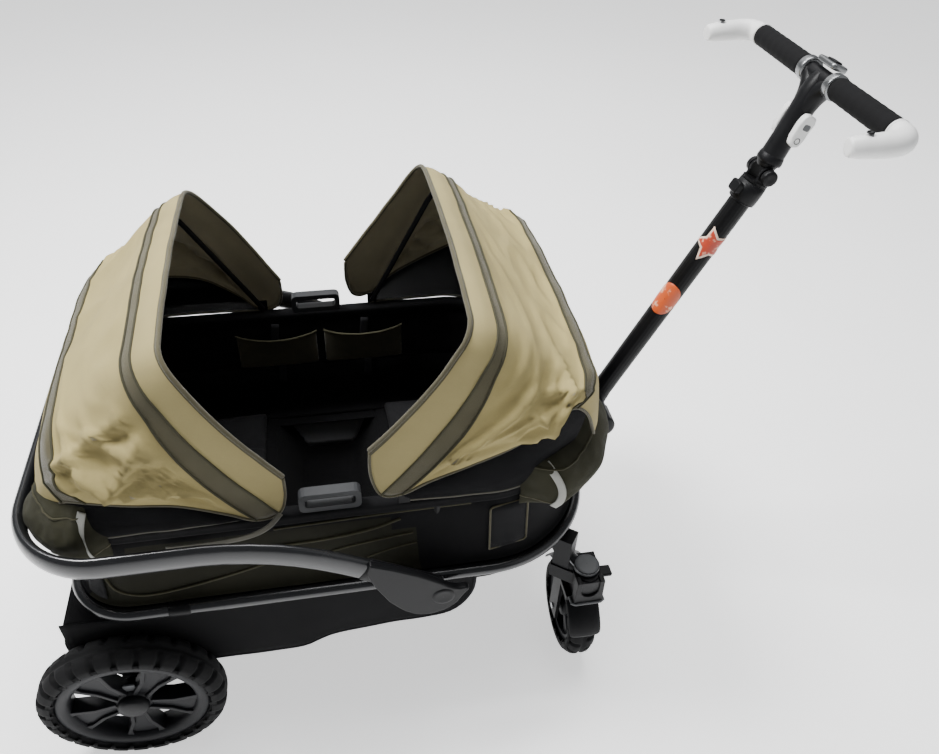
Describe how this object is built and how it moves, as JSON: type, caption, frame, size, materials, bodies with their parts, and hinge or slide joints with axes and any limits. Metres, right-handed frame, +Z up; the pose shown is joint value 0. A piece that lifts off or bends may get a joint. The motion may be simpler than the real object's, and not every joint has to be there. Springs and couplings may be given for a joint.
{
  "type": "wagon with pull handle",
  "caption": "Folding fabric wagon with canopies at both ends, rear hoop bar, spoked rear wheels, front casters and a telescoping pull handle.",
  "frame": {"origin": "bottom centre of the whole part's box, on the ground", "axes": "+X forward to the pull handle end, +Y to the left side, +Z up"},
  "size_m": [1.3231, 0.7136, 1.0692],
  "materials": {
    "black_tube": "satin black powder coat",
    "steel": "plain bright steel",
    "black_plastic": "moulded, lightly grained",
    "grey_plastic": "moulded, smooth",
    "white_plastic": "moulded, off-white",
    "foam": "closed-cell foam",
    "tread": "dull rubber",
    "black_cloth": "woven black fabric",
    "khaki_cloth": "woven khaki canopy fabric"
  },
  "bodies": {
    "chassis": {"lower_loop_rear": "black_tube", "lower_loop_front": "black_tube", "rear_axle": "steel", "rear_cross_frame": "black_tube", "front_cross_frame": "black_tube", "caster_housing_left": "black_plastic", "caster_housing_right": "black_plastic", "handle_bracket": "black_plastic", "handle_pin": "steel", "tub_tray": "black_cloth", "seat_pad_rear": "black_cloth", "seat_pad_front": "black_cloth", "skirt_left": "black_cloth", "skirt_right": "black_cloth", "hoop_pin_left": "steel", "hoop_pin_right": "steel"},
    "upper_frame": {"rim_rear": "black_tube", "rim_front": "black_tube", "upper_walls": "black_cloth", "grab_handle_left": "grey_plastic", "grab_handle_right": "grey_plastic", "end_rib_rear": "black_tube", "end_rib_front": "black_tube", "canopy_rear": "khaki_cloth", "canopy_front": "khaki_cloth"},
    "rear_hoop": {"hoop_tube": "black_tube", "hoop_cover_left": "black_plastic", "hoop_cover_right": "black_plastic"},
    "canopy_bow_rear": {"canopy_bow_rear": "steel"},
    "canopy_bow_front": {"canopy_bow_front": "steel"},
    "rear_wheel_left": {"rear_tyre_left": "tread", "rear_rim_left": "black_plastic", "hub_cap_left": "grey_plastic"},
    "rear_wheel_right": {"rear_tyre_right": "tread", "rear_rim_right": "black_plastic", "hub_cap_right": "grey_plastic"},
    "caster_left": {"caster_fork_left": "black_plastic", "caster_bolt_left": "steel"},
    "caster_right": {"caster_fork_right": "black_plastic", "caster_bolt_right": "steel"},
    "front_wheel_left": {"front_tyre_left": "tread", "front_rim_left": "black_plastic"},
    "front_wheel_right": {"front_tyre_right": "tread", "front_rim_right": "black_plastic"},
    "swivel_lock_left": {"swivel_lock_left": "grey_plastic"},
    "swivel_lock_right": {"swivel_lock_right": "grey_plastic"},
    "brake": {"brake_pedal": "black_plastic"},
    "pole_lower": {"pole_lower": "black_tube", "pole_collar": "black_plastic"},
    "pole_inner": {"pole_inner": "steel"},
    "handle_head": {"handle_head": "black_plastic", "grip_left": "foam", "grip_right": "foam", "horn_left": "white_plastic", "horn_right": "white_plastic", "cleat_left": "white_plastic", "cleat_right": "white_plastic"},
    "release_lever": {"release_lever": "grey_plastic"},
    "knuckle_button_left": {"knuckle_button_left": "black_plastic"},
    "knuckle_button_right": {"knuckle_button_right": "black_plastic"}
  },
  "joints": [
    {"name": "frame_fold", "type": "slide", "parent": "chassis", "child": "upper_frame", "axis": [0, 0, -1], "range_m": [0, 0.085]},
    {"name": "hoop_hinge", "type": "hinge", "parent": "chassis", "child": "rear_hoop", "pos_m": [0.0097, 0, 0.345], "axis": [0, 1, 0], "range_deg": [-8.5, 0]},
    {"name": "bow_hinge_rear", "type": "hinge", "parent": "upper_frame", "child": "canopy_bow_rear", "pos_m": [-0.2603, 0, 0.512], "axis": [0, 1, 0], "range_deg": [-25, 0], "deforming": ["canopy_rear"]},
    {"name": "bow_hinge_front", "type": "hinge", "parent": "upper_frame", "child": "canopy_bow_front", "pos_m": [-0.0423, 0, 0.512], "axis": [0, 1, 0], "range_deg": [0, 25], "deforming": ["canopy_front"]},
    {"name": "rear_spin_left", "type": "hinge", "parent": "chassis", "child": "rear_wheel_left", "pos_m": [-0.5123, 0.3265, 0.15], "axis": [0, 1, 0], "continuous": true},
    {"name": "rear_spin_right", "type": "hinge", "parent": "chassis", "child": "rear_wheel_right", "pos_m": [-0.5123, -0.3265, 0.15], "axis": [0, 1, 0], "continuous": true},
    {"name": "caster_swivel_left", "type": "hinge", "parent": "chassis", "child": "caster_left", "pos_m": [0.2847, 0.272, 0.2], "axis": [0, 0, 1], "continuous": true},
    {"name": "front_spin_left", "type": "hinge", "parent": "caster_left", "child": "front_wheel_left", "pos_m": [0.2847, 0.232, 0.095], "axis": [1, 0, 0], "continuous": true},
    {"name": "lock_flip_left", "type": "hinge", "parent": "chassis", "child": "swivel_lock_left", "pos_m": [0.3182, 0.272, 0.245], "axis": [0, 1, 0], "range_deg": [0, 35]},
    {"name": "caster_swivel_right", "type": "hinge", "parent": "chassis", "child": "caster_right", "pos_m": [0.2847, -0.272, 0.2], "axis": [0, 0, 1], "continuous": true},
    {"name": "front_spin_right", "type": "hinge", "parent": "caster_right", "child": "front_wheel_right", "pos_m": [0.2847, -0.232, 0.095], "axis": [1, 0, 0], "continuous": true},
    {"name": "lock_flip_right", "type": "hinge", "parent": "chassis", "child": "swivel_lock_right", "pos_m": [0.3182, -0.272, 0.245], "axis": [0, 1, 0], "range_deg": [0, 35]},
    {"name": "brake_press", "type": "hinge", "parent": "chassis", "child": "brake", "pos_m": [-0.5403, 0, 0.185], "axis": [0, 1, 0], "range_deg": [-18, 0]},
    {"name": "handle_hinge", "type": "hinge", "parent": "chassis", "child": "pole_lower", "pos_m": [0.3567, 0, 0.415], "axis": [0, 1, 0], "range_deg": [-24, 62]},
    {"name": "handle_slide", "type": "slide", "parent": "pole_lower", "child": "pole_inner", "axis": [0.4258, 0, 0.9048], "range_m": [0, 0.2]},
    {"name": "handle_tilt", "type": "hinge", "parent": "pole_inner", "child": "handle_head", "pos_m": [0.58011, 0, 0.88976], "axis": [0, 1, 0], "range_deg": [-30, 30]},
    {"name": "lever_press", "type": "slide", "parent": "handle_head", "child": "release_lever", "axis": [-0.3437, 0, -0.9391], "range_m": [0, 0.004], "stiffness_N_per_m": 300},
    {"name": "knuckle_press_left", "type": "slide", "parent": "pole_inner", "child": "knuckle_button_left", "axis": [0, -1, 0], "range_m": [0, 0.003], "stiffness_N_per_m": 400},
    {"name": "knuckle_press_right", "type": "slide", "parent": "pole_inner", "child": "knuckle_button_right", "axis": [0, 1, 0], "range_m": [0, 0.003], "stiffness_N_per_m": 400}
  ],
  "couplings": [
    {"joint": "hoop_hinge", "follows": "frame_fold", "rad_per_m": -1.745}
  ]
}
